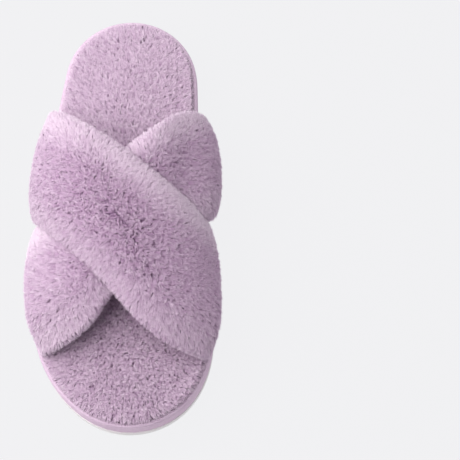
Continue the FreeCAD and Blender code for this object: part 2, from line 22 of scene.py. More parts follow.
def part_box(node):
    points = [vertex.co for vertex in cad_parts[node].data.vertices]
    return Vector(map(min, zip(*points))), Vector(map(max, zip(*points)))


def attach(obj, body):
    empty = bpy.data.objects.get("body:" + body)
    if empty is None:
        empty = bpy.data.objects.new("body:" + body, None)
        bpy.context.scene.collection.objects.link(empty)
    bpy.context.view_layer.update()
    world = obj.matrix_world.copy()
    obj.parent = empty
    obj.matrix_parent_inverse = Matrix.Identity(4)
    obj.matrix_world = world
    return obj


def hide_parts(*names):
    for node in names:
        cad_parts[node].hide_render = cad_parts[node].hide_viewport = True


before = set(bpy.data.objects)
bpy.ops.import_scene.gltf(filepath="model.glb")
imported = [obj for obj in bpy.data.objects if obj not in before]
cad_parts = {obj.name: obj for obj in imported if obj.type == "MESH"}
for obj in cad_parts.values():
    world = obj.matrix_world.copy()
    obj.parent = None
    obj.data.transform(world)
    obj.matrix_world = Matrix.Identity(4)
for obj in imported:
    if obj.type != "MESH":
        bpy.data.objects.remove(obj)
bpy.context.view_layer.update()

log = logging.getLogger("slipper")

MM = 0.001
BODY = "root"
PILE_UV = "OFBake"


# ---------------------------------------------------------------- small tools

def ease(value: np.ndarray) -> np.ndarray:
    """Smooth step from 0 to 1 as value goes from 0 to 1.

    Args:
        value: numbers of any size; what is outside 0 to 1 is held at the ends.

    Returns:
        Array of the same shape.
    """
    held = np.clip(value, 0.0, 1.0)
    return held * held * (3 - 2 * held)


def unit(vectors: np.ndarray) -> np.ndarray:
    """Rows of an array scaled to length one."""
    return vectors / np.maximum(np.linalg.norm(vectors, axis=-1, keepdims=True), 1e-9)


def flatten_onto(vectors: np.ndarray, normals: np.ndarray) -> np.ndarray:
    """Rows laid into the planes whose normals are given."""
    return vectors - normals * np.sum(vectors * normals, axis=-1, keepdims=True)


def srgb(code: str) -> tuple[float, float, float, float]:
    """Linear colour of an sRGB hex value.

    Args:
        code: six hex digits, such as "d8c4dc".

    Returns:
        Red, green, blue and an alpha of one.
    """
    channels = [int(code[start:start + 2], 16) / 255 for start in (0, 2, 4)]
    linear = [c / 12.92 if c <= 0.04045 else ((c + 0.055) / 1.055) ** 2.4 for c in channels]
    return linear[0], linear[1], linear[2], 1.0


def read_vectors(items: bpy.types.bpy_prop_collection, attribute: str) -> np.ndarray:
    """Read a vector attribute of every item of a collection.

    Args:
        items: the collection, such as a mesh's vertices.
        attribute: name of an attribute with three components.

    Returns:
        Array with one row for each item.
    """
    flat = np.empty(len(items) * 3, np.float32)
    items.foreach_get(attribute, flat)
    return flat.reshape(-1, 3).astype(float)


def node_tree(names: list[str]) -> BVHTree:
    """Make one search tree over the faces of several CAD nodes.

    Args:
        names: the nodes.

    Returns:
        The tree, in millimetres.
    """
    points: list[Vector] = []
    faces: list[tuple[int, ...]] = []
    for name in names:
        first = len(points)
        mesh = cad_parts[name].data
        points.extend(vertex.co / MM for vertex in mesh.vertices)
        faces.extend(tuple(first + index for index in face.vertices) for face in mesh.polygons)
    return BVHTree.FromPolygons(points, faces)


def circular_mean(values: np.ndarray, reach: int) -> np.ndarray:
    """Average each row of a closed loop with its neighbours.

    Args:
        values: the rows.
        reach: number of neighbours taken on each side.

    Returns:
        Array of the same shape.
    """
    shifted = [np.roll(values, step, axis=0) for step in range(-reach, reach + 1)]
    return np.mean(shifted, axis=0)


def add_object(name: str, data: bpy.types.ID) -> bpy.types.Object:
    """Add an object to the scene.

    Args:
        name: name of the new object.
        data: the mesh, light or camera that it shows.

    Returns:
        The new object.
    """
    piece = bpy.data.objects.new(name, data)
    bpy.context.scene.collection.objects.link(piece)
    return piece


def mesh_object(name: str, shape: bmesh.types.BMesh) -> bpy.types.Object:
    """Turn a bmesh into an object of the scene.

    Args:
        name: name of the new object.
        shape: the bmesh, which is freed.

    Returns:
        The new object.
    """
    mesh = bpy.data.meshes.new(name)
    shape.to_mesh(mesh)
    shape.free()
    return add_object(name, mesh)


def finish_piece(piece: bpy.types.Object, material: bpy.types.Material,
                 replaced: tuple[str, ...] = ()) -> bpy.types.Object:
    """Dress a piece and tie it to the frame.

    Args:
        piece: the new object, already in place.
        material: its finish.
        replaced: CAD nodes that it stands for.

    Returns:
        The same object.
    """
    piece.data.materials.clear()
    piece.data.materials.append(material)
    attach(piece, BODY)
    if replaced:
        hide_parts(*replaced)
    log.info("%s: %d faces", piece.name, len(piece.data.polygons))
    return piece


Place = Callable[[np.ndarray, np.ndarray], np.ndarray]


def formed_grid(name: str, across: int, along: int, place: Place,
                capped: bool = False) -> bpy.types.Object:
    """A grid bent into shape, with the edges that meet merged and open ends closed on request.

    Args:
        name: name of the new object.
        across: number of faces in the first direction.
        along: number of faces in the second direction.
        place: gives points in millimetres from two arrays that run from 0 to 1.
        capped: whether open ends are filled.

    Returns:
        A smooth-shaded mesh object.
    """
    shape = bmesh.new()
    bmesh.ops.create_grid(shape, x_segments=across, y_segments=along, size=1.0)
    shape.verts.ensure_lookup_table()
    flat = np.array([(vertex.co.x, vertex.co.y) for vertex in shape.verts])
    points = place((flat[:, 0] + 1) / 2, (flat[:, 1] + 1) / 2) * MM
    for vertex, point in zip(shape.verts, points):
        vertex.co = point
    bmesh.ops.remove_doubles(shape, verts=shape.verts, dist=1e-6)
    if capped:
        open_edges = [edge for edge in shape.edges if edge.is_boundary]
        bmesh.ops.holes_fill(shape, edges=open_edges, sides=0)
    bmesh.ops.recalc_face_normals(shape, faces=shape.faces)
    for face in shape.faces:
        face.smooth = True
    return mesh_object(name, shape)


# ---------------------------------------------------------------- finishes

def add_node(tree: bpy.types.NodeTree, kind: str, settings: dict | None = None,
             inputs: dict | None = None) -> bpy.types.Node:
    """Add one shader node.

    Args:
        tree: the material's node tree.
        kind: Blender's name of the node.
        settings: attributes to set.
        inputs: values or output sockets, keyed by the name or number of the input.

    Returns:
        The new node.
    """
    node = tree.nodes.new(kind)
    for attribute, value in (settings or {}).items():
        setattr(node, attribute, value)
    for key, value in (inputs or {}).items():
        if isinstance(value, bpy.types.NodeSocket):
            tree.links.new(value, node.inputs[key])
        else:
            node.inputs[key].default_value = value
    return node


def blank_material(name: str) -> tuple[bpy.types.Material, bpy.types.Node, bpy.types.NodeTree]:
    """Make a material that has only an output node.

    Args:
        name: name of the new material.

    Returns:
        The material, its output node and its node tree.
    """
    material = bpy.data.materials.new(name)
    material.use_nodes = True
    tree = material.node_tree
    tree.nodes.clear()
    return material, tree.nodes.new("ShaderNodeOutputMaterial"), tree


def set_ramp(node: bpy.types.Node, stops: tuple[tuple[float, str], ...]) -> None:
    """Give a colour ramp its stops.

    Args:
        node: the Color Ramp node.
        stops: position and sRGB hex value of each stop, in order.
    """
    elements = node.color_ramp.elements
    while len(elements) < len(stops):
        elements.new(0.5)
    for element, (position, code) in zip(elements, stops):
        element.position = position
        element.color = srgb(code)


@dataclass(frozen=True)
class FurFinish:
    """Modacrylic pile fibre: matt, lighter at the tip, with a soft fibre sheen.

    Each fibre reads one column of its UV map: u is the fibre's shade, random tone together with painted
    light and shade, v the height along it.
    Shaded and bright are the colours up a fibre of the darkest and of the lightest shade: painted shade
    and painted light, and both darken towards the root as painted shade of the deep pile.
    """

    name: str = "modacrylic_fur_pile"
    # Painted shade and painted light: a shaded and a lit copy of one fibre colour, each darker at the root
    # as painted shade of the deep pile.
    shaded: tuple[tuple[float, str], ...] = ((0.0, "956e99"), (0.35, "ab85ab"), (1.0, "c7a2c5"))
    bright: tuple[tuple[float, str], ...] = ((0.0, "ba9aba"), (0.35, "dac1d9"), (1.0, "faeaf7"))
    roughness: float = 0.85
    sheen: float = 0.25

    def build(self) -> bpy.types.Material:
        """Make the material.

        Returns:
            The new material.
        """
        material, output, tree = blank_material(self.name)
        uv = add_node(tree, "ShaderNodeUVMap", {"uv_map": PILE_UV})
        parts = add_node(tree, "ShaderNodeSeparateXYZ", inputs={"Vector": uv.outputs["UV"]})
        dark = add_node(tree, "ShaderNodeValToRGB", inputs={"Fac": parts.outputs["Y"]})
        light = add_node(tree, "ShaderNodeValToRGB", inputs={"Fac": parts.outputs["Y"]})
        set_ramp(dark, self.shaded)
        set_ramp(light, self.bright)
        blend = add_node(tree, "ShaderNodeMix", {"data_type": "RGBA"},
                         {0: parts.outputs["X"], 6: dark.outputs["Color"], 7: light.outputs["Color"]})
        shader = add_node(tree, "ShaderNodeBsdfPrincipled", inputs={
            "Base Color": blend.outputs[2], "Roughness": self.roughness,
            "Sheen Weight": self.sheen, "Sheen Roughness": 0.5, "Sheen Tint": srgb("f0e2f0"),
            "Specular IOR Level": 0.2})
        tree.links.new(shader.outputs["BSDF"], output.inputs["Surface"])
        return material


@dataclass(frozen=True)
class ClothFinish:
    """Woven or knitted cloth, and pressed board: crossed sets of threads over a mottled dye.

    The threads are drawn coarser than real ones where real ones would be too fine to see.
    """

    name: str
    low: str
    high: str
    thread_mm: float
    bump_mm: float
    sheen: float = 0.3
    roughness: float = 0.9
    mottle_mm: float = 14.0
    gloss: float = 0.25

    def build(self) -> bpy.types.Material:
        """Make the material.

        Returns:
            The new material.
        """
        material, output, tree = blank_material(self.name)
        place = add_node(tree, "ShaderNodeTexCoord")
        threads = 1 / (self.thread_mm * MM)
        turned = add_node(tree, "ShaderNodeMapping", inputs={
            "Vector": place.outputs["Object"], "Rotation": (0.35, 0.2, math.radians(45))})
        bands = []
        for direction in ("X", "Y", "Z"):
            wave = add_node(tree, "ShaderNodeTexWave", {"bands_direction": direction}, {
                "Vector": turned.outputs["Vector"], "Scale": threads / 20 * math.pi,
                "Distortion": 0.6, "Detail": 1.0, "Detail Scale": 2.0})
            bands.append(wave.outputs["Fac"])
        crossed = add_node(tree, "ShaderNodeMath", {"operation": "MULTIPLY"}, {0: bands[0], 1: bands[1]})
        weave = add_node(tree, "ShaderNodeMath", {"operation": "MAXIMUM"},
                         {0: crossed.outputs[0], 1: bands[2]})
        mottle = add_node(tree, "ShaderNodeTexNoise", inputs={
            "Vector": place.outputs["Object"], "Scale": 1 / (self.mottle_mm * MM), "Detail": 5.0})
        fuzz = add_node(tree, "ShaderNodeTexNoise", inputs={
            "Vector": place.outputs["Object"], "Scale": threads, "Detail": 3.0})
        shade = add_node(tree, "ShaderNodeMath", {"operation": "MULTIPLY_ADD"},
                         {0: weave.outputs[0], 1: 0.35, 2: mottle.outputs["Fac"]})
        ramp = add_node(tree, "ShaderNodeValToRGB", inputs={"Fac": shade.outputs[0]})
        set_ramp(ramp, ((0.3, self.low), (0.85, self.high)))
        relief = add_node(tree, "ShaderNodeMath", {"operation": "ADD"},
                          {0: weave.outputs[0], 1: fuzz.outputs["Fac"]})
        bump = add_node(tree, "ShaderNodeBump", inputs={
            "Height": relief.outputs[0], "Distance": self.bump_mm * MM, "Strength": 0.7})
        shader = add_node(tree, "ShaderNodeBsdfPrincipled", inputs={
            "Base Color": ramp.outputs["Color"], "Roughness": self.roughness,
            "Normal": bump.outputs["Normal"], "Sheen Weight": self.sheen, "Sheen Roughness": 0.4,
            "Specular IOR Level": self.gloss})
        tree.links.new(shader.outputs["BSDF"], output.inputs["Surface"])
        return material


@dataclass(frozen=True)
class MouldedFinish:
    """Moulded rubber or foam: a fine, slightly uneven grain that breaks up a soft gloss."""

    name: str
    low: str
    high: str
    grain_mm: float
    bump_mm: float
    roughness: float

    def build(self) -> bpy.types.Material:
        """Make the material.

        Returns:
            The new material.
        """
        material, output, tree = blank_material(self.name)
        place = add_node(tree, "ShaderNodeTexCoord")
        grain = add_node(tree, "ShaderNodeTexNoise", inputs={
            "Vector": place.outputs["Object"], "Scale": 1 / (self.grain_mm * MM), "Detail": 4.0})
        cloud = add_node(tree, "ShaderNodeTexNoise", inputs={
            "Vector": place.outputs["Object"], "Scale": 1 / (30 * self.grain_mm * MM), "Detail": 4.0})
        shade = add_node(tree, "ShaderNodeMath", {"operation": "MULTIPLY_ADD"},
                         {0: grain.outputs["Fac"], 1: 0.4, 2: cloud.outputs["Fac"]})
        ramp = add_node(tree, "ShaderNodeValToRGB", inputs={"Fac": shade.outputs[0]})
        set_ramp(ramp, ((0.45, self.low), (0.95, self.high)))
        rough = add_node(tree, "ShaderNodeMapRange", inputs={
            "Value": grain.outputs["Fac"], "To Min": self.roughness - 0.08,
            "To Max": min(1.0, self.roughness + 0.08)})
        bump = add_node(tree, "ShaderNodeBump", inputs={
            "Height": grain.outputs["Fac"], "Distance": self.bump_mm * MM, "Strength": 0.5})
        shader = add_node(tree, "ShaderNodeBsdfPrincipled", inputs={
            "Base Color": ramp.outputs["Color"], "Roughness": rough.outputs["Result"],
            "Normal": bump.outputs["Normal"], "Specular IOR Level": 0.2})
        tree.links.new(shader.outputs["BSDF"], output.inputs["Surface"])
        return material


class Finish(Enum):
    """Every finish of the slipper, by what the real one is."""

    FUR = FurFinish()
    # Plush ground between the fibres: a little darker than their tips as painted shade, so the gaps read
    # as depth.
    GROUND = ClothFinish("plush_ground_knit", "b090b0", "c2a3c2", 1.2, 0.25, sheen=0.1)
    # Brushed polyester of the wrap and binding: quite matt and smooth, with a hint of weave.
    WRAP = ClothFinish("brushed_polyester_wrap", "d3b8d0", "e2cade", 0.8, 0.06,
                       sheen=0.0, gloss=0.0)
    BINDING = ClothFinish("brushed_polyester_binding", "d2b7cf", "e0c8dd", 0.8, 0.08,
                          sheen=0.0, gloss=0.0)
    # Short velour against the foot.
    LINING = ClothFinish("short_velour_lining", "ab8fac", "c4a9c3", 1.0, 0.15, sheen=0.4)
    # Warp-knit that carries the pile and backs the seams.
    KNIT = ClothFinish("warp_knit_backing", "8f7490", "a389a3", 1.2, 0.2, sheen=0.1)
    # Spun polyester sewing thread: tight, slightly glossy.
    THREAD = ClothFinish("spun_polyester_thread", "a487a5", "bfa3bf", 0.4, 0.05,
                         sheen=0.2, roughness=0.6, mottle_mm=6.0)
    # Pressed cellulose board.
    BOARD = ClothFinish("pressed_insole_board", "8a7c6b", "a3947f", 2.0, 0.08, sheen=0.0)
    # Open-cell polyurethane and closed-cell EVA foam.
    PAD_FOAM = MouldedFinish("open_cell_pad_foam", "d9d5cb", "ece9e0", 1.2, 0.25, 0.9)
    MIDSOLE = MouldedFinish("closed_cell_eva_midsole", "dedddb", "efeeec", 0.8, 0.08, 0.75)
    # White thermoplastic rubber with the dull skin of its mould.
    OUTSOLE = MouldedFinish("moulded_white_tpr", "eeeaea", "f5f2f2", 0.7, 0.05, 0.6)

    def material(self) -> bpy.types.Material:
        """The finish's material, made on first use."""
        return bpy.data.materials.get(self.value.name) or self.value.build()


# ---------------------------------------------------------------- the sole's outline

@dataclass
class SoleOutline:
    """Plan outline of the wrap: a closed loop that starts anywhere and runs anticlockwise.

    The ledge is how far the outsole stands out from it, and count is the number of points.
    """

    ledge: float = 0.2
    count: int = 600
    points: np.ndarray = field(init=False)
    normals: np.ndarray = field(init=False)

    def __post_init__(self) -> None:
        """Read the top edge of the outsole, which stands out from the wrap by the ledge."""
        solid = read_vectors(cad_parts["outsole"].data.vertices, "co") / MM
        rim = solid[np.abs(solid[:, 2] - solid[:, 2].max()) < 0.01][:, :2]
        rim = rim[np.argsort(np.arctan2(rim[:, 1], rim[:, 0]))]
        steps = np.linalg.norm(np.diff(rim, axis=0, append=rim[:1]), axis=1)
        rim, steps = rim[steps > 1e-4], steps[steps > 1e-4]
        way = np.concatenate([[0.0], np.cumsum(steps)])
        closed = np.vstack([rim, rim[:1]])
        at = np.linspace(0.0, way[-1], self.count, endpoint=False)
        loop = np.column_stack([np.interp(at, way, closed[:, axis]) for axis in (0, 1)])
        loop = circular_mean(loop, 3)
        along = unit(np.roll(loop, -1, axis=0) - np.roll(loop, 1, axis=0))
        self.normals = circular_mean(np.column_stack([along[:, 1], -along[:, 0]]), 4)
        self.points = loop - self.normals * self.ledge

    def at(self, way: np.ndarray, inset: np.ndarray) -> np.ndarray:
        """Points round the loop.

        Args:
            way: share of the way round, 0 to 1.
            inset: distance in from the outline.

        Returns:
            Array of x and y, one row for each value.
        """
        steps = (way % 1.0) * self.count
        near = steps.astype(int) % self.count
        share = (steps - np.floor(steps))[:, None]
        after = (near + 1) % self.count
        middle = self.points[near] * (1 - share) + self.points[after] * share
        outward = unit(self.normals[near] * (1 - share) + self.normals[after] * share)
        return middle - outward * np.asarray(inset)[:, None]

    def inside(self, spots: np.ndarray) -> tuple[np.ndarray, np.ndarray]:
        """How far spots lie in from the outline, and the outward direction of their nearest point.

        Args:
            spots: x and y, one row each.

        Returns:
            Distances, and unit vectors in the plane.
        """
        tree = KDTree(self.count)
        for index, (x, y) in enumerate(self.points):
            tree.insert((x, y, 0.0), index)
        tree.balance()
        nearest = np.array([tree.find((x, y, 0.0))[1] for x, y in spots])
        outward = self.normals[nearest]
        return np.sum((self.points[nearest] - spots) * outward, axis=1), outward


# ---------------------------------------------------------------- pile

@dataclass
class Lay:
    """How the fibres of a patch lie, one row for each fibre.

    Comb is the direction that a fibre is drawn in, order how strictly (0 to 1), length in
    millimetres, lean in degrees from the surface's normal, and shade from 0 dark to 1 light, which holds
    painted light and shade by where the fibre grows.
    """

    comb: np.ndarray
    order: np.ndarray
    length: np.ndarray
    lean: np.ndarray
    shade: np.ndarray


@dataclass
class Coat:
    """A coat of pile: fibres rooted on a surface, combed, curled and drawn into locks.

    Density is fibres to a square millimetre, and a lock's size is a number of fibres.  Tousle, stray,
    curl and lock_lean are degrees.  Shades run from 0 to 1.  What loosens the coat fades out where
    the fibres lie in order.
    """

    density: float = 7.0
    width: float = 0.34
    taper: tuple[float, ...] = (1.0, 0.95, 0.72)
    length_range: tuple[float, float] = (0.92, 1.06)
    lock_size: float = 5.0
    lock_draw: float = 0.3
    lock_shortening: float = 0.24
    lock_lean: float = 7.0
    lock_shade: float = 0.14
    fibre_shade: float = 0.1
    tousle: float = 50.0
    combed_tousle: float = 8.0
    stray: float = 7.0
    curl: float = 50.0

    @property
    def segments(self) -> int:
        """Number of lengths that a fibre is made of."""
        return len(self.taper)

    def roots(self, surface: bpy.types.Object, rng: np.random.Generator,
              wanted: Callable[[np.ndarray], np.ndarray]) -> tuple[np.ndarray, np.ndarray]:
        """Scatter roots evenly over the part of a surface that is wanted.

        Args:
            surface: mesh object to root in.
            rng: source of the draws.
            wanted: gives, from points in millimetres, the share of the full density at each.

        Returns:
            Root points in millimetres, and the surface's normals there.
        """
        mesh = surface.data
        mesh.calc_loop_triangles()
        corners = np.empty(len(mesh.loop_triangles) * 3, np.int32)
        mesh.loop_triangles.foreach_get("vertices", corners)
        corners = corners.reshape(-1, 3)
        points = read_vectors(mesh.vertices, "co") / MM
        normals = read_vectors(mesh.vertices, "normal")
        first, second, third = (points[corners[:, index]] for index in range(3))
        area = np.linalg.norm(np.cross(second - first, third - first), axis=1) / 2
        weight = area * wanted((first + second + third) / 3)
        count = int(weight.sum() * self.density)
        chosen = rng.choice(len(area), size=count, p=weight / weight.sum())
        shares = rng.dirichlet((1.0, 1.0, 1.0), count)
        picked = corners[chosen]
        roots = np.einsum("ij,ijk->ik", shares, points[picked])
        return roots, unit(np.einsum("ij,ijk->ik", shares, normals[picked]))

    def grow(self, name: str, roots: np.ndarray, normals: np.ndarray, lay: Lay,
             rng: np.random.Generator) -> bpy.types.Object:
        """Grow one fibre from each root.

        Args:
            name: name of the new object.
            roots: root points in millimetres.
            normals: surface normals at the roots.
            lay: how each fibre lies.
            rng: source of the draws.

        Returns:
            A mesh object of narrow tapering ribbons.
        """
        count = len(roots)
        leaders, followed = self.locks(roots, rng)

        def shared(values: np.ndarray) -> np.ndarray:
            """Each fibre's value replaced by that of its lock's leader."""
            return values[leaders][followed]

        lock_turn = shared(rng.normal(0.0, 1.0, count))
        lock_curl = shared(rng.normal(0.0, 1.0, count))
        loose = 1 - 0.75 * lay.order
        shortened = 1 - self.lock_shortening * loose * shared(rng.uniform(0.0, 1.0, count))
        lock_lean = self.lock_lean * loose * shared(rng.normal(0.0, 1.0, count))
        lock_shade = shared(rng.normal(0.0, self.lock_shade, count))
        spread = self.tousle + (self.combed_tousle - self.tousle) * lay.order
        turn = np.radians(spread * lock_turn + rng.normal(0.0, self.stray, count))
        curl = np.radians(self.curl * loose * lock_curl)
        length = lay.length * shortened * rng.uniform(*self.length_range, count)
        lean = np.radians(lay.lean + lock_lean)
        side = np.cross(normals, lay.comb)
        path = [roots]
        for step in range(self.segments):
            along = (step + 0.5) / self.segments
            heading = turn + curl * (2 * along - 0.4)
            tilt = lean * (0.45 + 0.65 * along)
            flat = lay.comb * np.cos(heading)[:, None] + side * np.sin(heading)[:, None]
            way = normals * np.cos(tilt)[:, None] + flat * np.sin(tilt)[:, None]
            path.append(path[-1] + way * (length / self.segments)[:, None])
        drawn = [path[0]]
        for step in range(1, self.segments + 1):
            pull = self.lock_draw * loose * (step / self.segments) ** 0.8
            drawn.append(path[step] + (shared(path[step]) - path[step]) * pull[:, None])
        shade = np.clip(lay.shade + lock_shade + rng.normal(0.0, self.fibre_shade, count), 0.02, 0.94)
        return self.ribbons(name, drawn, normals, shade, rng)

    def locks(self, roots: np.ndarray, rng: np.random.Generator) -> tuple[np.ndarray, np.ndarray]:
        """Choose a leader for each lock and the lock that each fibre joins.

        Args:
            roots: root points.
            rng: source of the draws.

        Returns:
            Index of each lock's leader, and for each fibre the number of its lock.
        """
        leaders = rng.choice(len(roots), size=max(1, int(len(roots) / self.lock_size)), replace=False)
        tree = KDTree(len(leaders))
        for number, index in enumerate(leaders):
            tree.insert(roots[index], number)
        tree.balance()
        return leaders, np.array([tree.find(root)[1] for root in roots])

    def ribbons(self, name: str, path: list[np.ndarray], normals: np.ndarray, shade: np.ndarray,
                rng: np.random.Generator) -> bpy.types.Object:
        """Make the fibres' ribbons: quads that taper, and a triangle at the tip.

        Args:
            name: name of the new object.
            path: points of every fibre, from the roots to the tips.
            normals: surface normals at the roots.
            shade: shade of each fibre, 0 dark to 1 light.
            rng: source of the draws.

        Returns:
            The mesh object, with the shade and the height along a fibre in its UV map.
        """
        count = len(shade)
        facing = unit(normals + rng.normal(0.0, 0.35, (count, 3)))
        broad = self.width * rng.uniform(0.8, 1.2, count)
        rows, bends = [], []
        for step in range(self.segments):
            way = unit(path[step + 1] - path[max(step - 1, 0)])
            across = unit(np.cross(facing, way))
            half = across * (broad * self.taper[step] / 2)[:, None]
            rows.extend([path[step] - half, path[step] + half])
            bends.extend([np.cross(way, across)] * 2)
        rows.append(path[-1])
        bends.append(bends[-1])
        size = len(rows)
        points = np.stack(rows, axis=1).reshape(-1, 3) * MM
        bend = np.stack(bends, axis=1)
        soft = unit(normals[:, None] * 0.92 + bend * 0.25).reshape(-1, 3)
        pattern, heights, sides = [], [], []
        for step in range(self.segments - 1):
            low = 2 * step
            pattern.extend([low + 1, low, low + 2, low + 3])
            heights.extend([step, step, step + 1, step + 1])
            sides.extend([1, 0, 0, 1])
        last = 2 * (self.segments - 1)
        pattern.extend([last + 1, last, last + 2])
        heights.extend([self.segments - 1, self.segments - 1, self.segments])
        sides.extend([1, 0, 0.5])
        faces = [4] * (self.segments - 1) + [3]
        corners = (np.arange(count)[:, None] * size + np.array(pattern)[None]).ravel()
        totals = np.tile(faces, count)
        starts = np.concatenate([[0], np.cumsum(totals)[:-1]])
        mesh = bpy.data.meshes.new(name)
        mesh.vertices.add(len(points))
        mesh.vertices.foreach_set("co", points.astype(np.float32).ravel())
        mesh.loops.add(len(corners))
        mesh.loops.foreach_set("vertex_index", corners.astype(np.int32))
        mesh.polygons.add(len(totals))
        mesh.polygons.foreach_set("loop_start", starts.astype(np.int32))
        mesh.polygons.foreach_set("use_smooth", np.ones(len(totals), bool))
        chart = np.empty((count, len(pattern), 2), np.float32)
        chart[:, :, 0] = shade[:, None] + np.array(sides)[None] * 0.05
        chart[:, :, 1] = np.array(heights)[None] / self.segments * 0.98 + 0.01
        mesh.uv_layers.new(name=PILE_UV)
        mesh.uv_layers[PILE_UV].data.foreach_set("uv", chart.ravel())
        mesh.update(calc_edges=True)
        mesh.normals_split_custom_set_from_vertices(soft.astype(np.float32))
        return add_object(name, mesh)


# ---------------------------------------------------------------- sole unit

@dataclass
class SoleUnit:
    """Outsole, fabric wrap, rolled binding, and the layers that they hold.

    Puckers are the folds of the wall beside its seams, and gathers the finer ones of the binding:
    each has a height and a number of folds round the sole.
    """

    outline: SoleOutline
    wall_bulge: float = 0.7
    wall_inset: float = 0.35
    wall_thickness: float = 1.25
    wall_flare: float = 0.3
    pucker: float = 0.22
    pucker_count: int = 74
    binding_radius: float = 1.9
    binding_inset: float = 1.8
    gather: float = 0.1
    gather_count: int = 300

    def wall(self) -> bpy.types.Object:
        """Make the wrap's side wall: it bulges between its seams and puckers where it is sewn.

        Returns:
            The finished piece.
        """
        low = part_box("outsole")[1].z / MM
        high = (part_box("edge_binding")[0].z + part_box("edge_binding")[1].z) / 2 / MM

        def place(way: np.ndarray, round_: np.ndarray) -> np.ndarray:
            """Place the wall's points.

            Args:
                way: share of the way round the sole.
                round_: share of the way up the outer face and down the inner one.

            Returns:
                Points in millimetres.
            """
            outer = round_ < 0.5
            climb = np.where(outer, round_ * 2, 2 - round_ * 2)
            bulge = self.wall_bulge * np.sin(np.pi * climb) ** 0.7
            phase = way * self.pucker_count * 2 * np.pi
            folds = np.sin(phase + 1.7 * np.sin(phase * 0.99)) * np.abs(2 * climb - 1) ** 2
            swell = bulge + self.pucker * folds + self.wall_flare * climb ** 3
            inset = self.wall_inset + np.where(outer, -swell, self.wall_thickness)
            plan = self.outline.at(way, inset)
            return np.column_stack([plan, low + (high - low) * climb])

        wall = formed_grid("wrap_wall", 600, 20, place)
        return finish_piece(wall, Finish.WRAP.material(), ("fabric_wrap",))

    def binding(self) -> bpy.types.Object:
        """Make the rolled binding: a soft tube with the small gathers of its seam.

        Returns:
            The finished piece.
        """
        lowest, highest = (corner.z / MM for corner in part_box("edge_binding"))
        middle = (lowest + highest) / 2

        def place(way: np.ndarray, round_: np.ndarray) -> np.ndarray:
            """Place the tube's points.

            Args:
                way: share of the way round the sole.
                round_: share of the way round the tube's section.

            Returns:
                Points in millimetres.
            """
            turn = round_ * 2 * np.pi
            ripple = np.sin(way * self.gather_count * 2 * np.pi) * np.maximum(np.cos(turn), 0) ** 0.5
            radius = self.binding_radius + self.gather * ripple
            plan = self.outline.at(way, self.binding_inset + radius * np.cos(turn))
            return np.column_stack([plan, middle + radius * np.sin(turn)])

        tube = formed_grid("rolled_binding", 1200, 14, place)
        return finish_piece(tube, Finish.BINDING.material(), ("edge_binding",))

    def dress_solids(self) -> None:
        """Give the CAD layers that stay their finishes."""
        finishes = {
            "outsole": Finish.OUTSOLE,
            "midsole": Finish.MIDSOLE,
            "insole_board": Finish.BOARD,
            "bottom_filler": Finish.BOARD,
            "footbed_foam": Finish.PAD_FOAM,
            "footbed_backing": Finish.KNIT,
            "wrap_join_tape": Finish.KNIT,
            "seam_stitches": Finish.THREAD,
        }
        for name, finish in finishes.items():
            dress_node(name, finish)


def dress_node(name: str, finish: Finish) -> None:
    """Give a CAD node that stays its finish.

    Args:
        name: the node.
        finish: what it is made of.
    """
    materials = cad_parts[name].data.materials
    materials.clear()
    materials.append(finish.material())


# ---------------------------------------------------------------- bands

class BandName(Enum):
    """The two bands: the upper one lies across the other."""

    UPPER = "upper"
    UNDER = "under"


